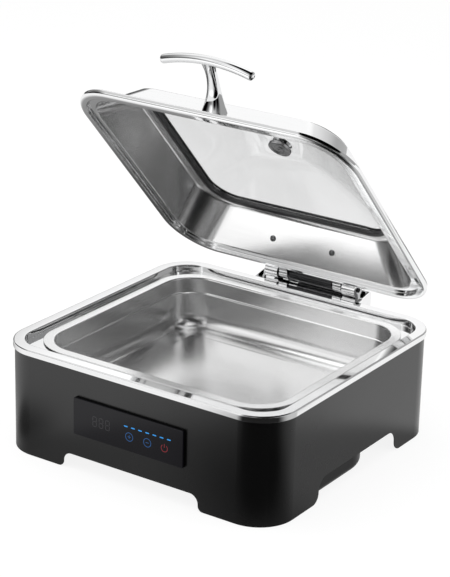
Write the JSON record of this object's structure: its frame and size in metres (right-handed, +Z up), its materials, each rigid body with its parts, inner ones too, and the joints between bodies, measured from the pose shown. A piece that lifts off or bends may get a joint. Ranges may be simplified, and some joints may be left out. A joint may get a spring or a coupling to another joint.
{
  "type": "electric chafing dish",
  "caption": "Square countertop food warmer: black case on notched feet, touch panel, polished frame, lift-out pan and a hinged domed lid with a glass window and a T handle.",
  "frame": {"origin": "on the floor under the middle of the whole object's box, with the lid open as pictured", "axes": "+Z up, +X to the right seen from the front, +Y to the back, where the lid is hinged"},
  "size_m": [0.397, 0.4104, 0.4917],
  "materials": {
    "black_case": "satin black powder coat",
    "polished_steel": "polished stainless steel",
    "handle_chrome": "polished plate",
    "brushed_pan": "brushed stainless steel",
    "hinge_steel": "turned steel",
    "screw_steel": "zinc plated",
    "foot_rubber": "matt rubber",
    "gasket_rubber": "silicone rubber",
    "window": "clear toughened glass",
    "inner_plate": "black sheet",
    "glossy_tray": "glossy black moulding",
    "heater_metal": "cast and machined",
    "heater_steel": "heat tinted steel",
    "insulation": "pressed mineral fibre",
    "black_plastic": "moulded black",
    "panel_black": "black backed glass",
    "circuit_board": "solder resist",
    "display": "dark filter",
    "light_guide": "milky guide",
    "sensor_pad": "sprung pads",
    "transformer": "taped winding",
    "terminals": "moulded green"
  },
  "bodies": {
    "base": {"body_shell": "black_case", "top_frame": "polished_steel", "rubber_foot_1": "foot_rubber", "rubber_foot_2": "foot_rubber", "rubber_foot_3": "foot_rubber", "rubber_foot_4": "foot_rubber", "water_pan": "brushed_pan", "base_plate": "inner_plate", "bottom_tray": "glossy_tray", "tray_screw_1": "screw_steel", "tray_screw_2": "screw_steel", "tray_screw_3": "screw_steel", "tray_screw_4": "screw_steel", "heater_plate": "heater_metal", "heater_post_1": "heater_steel", "heater_post_2": "heater_steel", "heater_post_3": "heater_steel", "heater_post_4": "heater_steel", "heater_insulation": "insulation", "heating_element": "heater_steel", "thermal_cutout": "black_plastic", "temperature_sensor": "heater_steel", "power_board": "circuit_board", "power_transformer": "transformer", "power_relay": "black_plastic", "terminal_block": "terminals", "control_housing": "black_plastic", "panel_glass": "panel_black", "control_board": "circuit_board", "digit_display": "display", "light_row": "light_guide", "touch_sensor_plus": "sensor_pad", "touch_sensor_minus": "sensor_pad", "touch_sensor_power": "sensor_pad", "power_inlet": "black_plastic", "hinge_housing": "polished_steel", "housing_bolt_left": "screw_steel", "housing_bolt_right": "screw_steel", "hinge_pin": "hinge_steel", "hinge_damper": "hinge_steel", "hinge_barrel_left": "polished_steel", "hinge_barrel_right": "polished_steel"},
    "lid": {"lid_shell": "polished_steel", "hinge_arm_left": "polished_steel", "hinge_arm_right": "polished_steel", "lid_screw_left": "screw_steel", "lid_screw_right": "screw_steel", "window_gasket": "gasket_rubber", "window_glass": "window", "vent_cap": "handle_chrome", "vent_disc": "handle_chrome", "handle_stem": "handle_chrome", "handle_screw": "screw_steel", "handle_bar": "handle_chrome"},
    "pan": {"food_pan": "brushed_pan"}
  },
  "joints": [
    {"name": "lid_hinge", "type": "hinge", "parent": "base", "child": "lid", "pos_m": [0, 0.19125, 0.1464], "axis": [1, 0, 0], "range_deg": [-42.92, 47.08]},
    {"name": "pan_lift", "type": "slide", "parent": "base", "child": "pan", "axis": [0, 0, 1], "range_m": [0, 0.008]}
  ]
}
